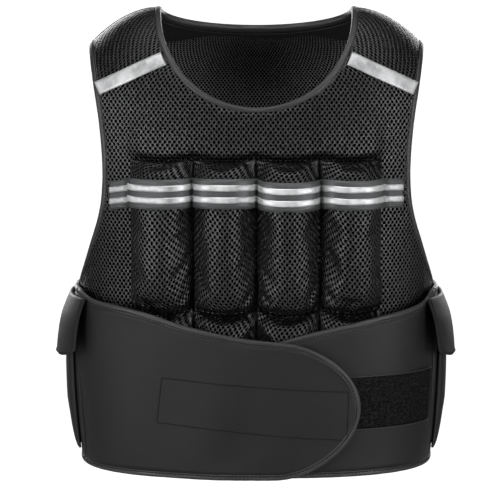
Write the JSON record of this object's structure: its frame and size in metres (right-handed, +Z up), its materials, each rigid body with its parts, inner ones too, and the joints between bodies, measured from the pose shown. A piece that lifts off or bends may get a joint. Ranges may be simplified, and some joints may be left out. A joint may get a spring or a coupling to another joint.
{
  "type": "weighted vest",
  "caption": "Padded mesh training vest with stuffed weight pockets on the chest, reflective trim and a wide wrap belt closed by hook and loop, with a flapped pouch on each hip.",
  "frame": {"origin": "on the vest's middle plane over the shoulder line, level with the underside of the straps halfway out along the shoulder, where the worn vest rests", "axes": "+Z up, -Y the way the wearer faces, +X the wearer's left"},
  "size_m": [0.4434, 0.2557, 0.501],
  "materials": {
    "spacer_mesh": "black padded spacer mesh with small oval holes",
    "smooth_lining": "smooth black lining cloth",
    "neoprene": "charcoal neoprene with a fine knit face",
    "binding_tape": "charcoal folded tape, stitched",
    "reflective_band": "grey satin trim, stitched",
    "silver_reflective": "silver retroreflective film, slightly worn",
    "hook_and_loop": "black loop and hook pile"
  },
  "bodies": {
    "root": {"front_panel": "spacer_mesh", "back_panel": "spacer_mesh", "upper_pocket_1": "spacer_mesh", "upper_pocket_2": "spacer_mesh", "upper_pocket_3": "spacer_mesh", "upper_pocket_4": "spacer_mesh", "lower_pocket_1": "spacer_mesh", "lower_pocket_2": "spacer_mesh", "lower_pocket_3": "spacer_mesh", "lower_pocket_4": "spacer_mesh", "back_neck_facing": "smooth_lining", "belt_back": "neoprene", "belt_wing_right": "neoprene", "belt_wing_left": "neoprene", "hip_pouch_left": "neoprene", "hip_pouch_right": "neoprene", "pouch_flap_left": "neoprene", "pouch_flap_right": "neoprene", "front_neck_binding": "binding_tape", "back_neck_binding": "binding_tape", "armhole_binding_left": "binding_tape", "armhole_binding_right": "binding_tape", "wing_binding_left": "binding_tape", "wing_binding_right": "binding_tape", "back_binding_upper": "binding_tape", "back_binding_lower": "binding_tape", "reflective_tape": "reflective_band", "silver_stripe_upper": "silver_reflective", "silver_stripe_lower": "silver_reflective", "shoulder_strip_left": "silver_reflective", "shoulder_strip_right": "silver_reflective", "loop_patch": "hook_and_loop", "hook_patch": "hook_and_loop"}
  },
  "joints": []
}
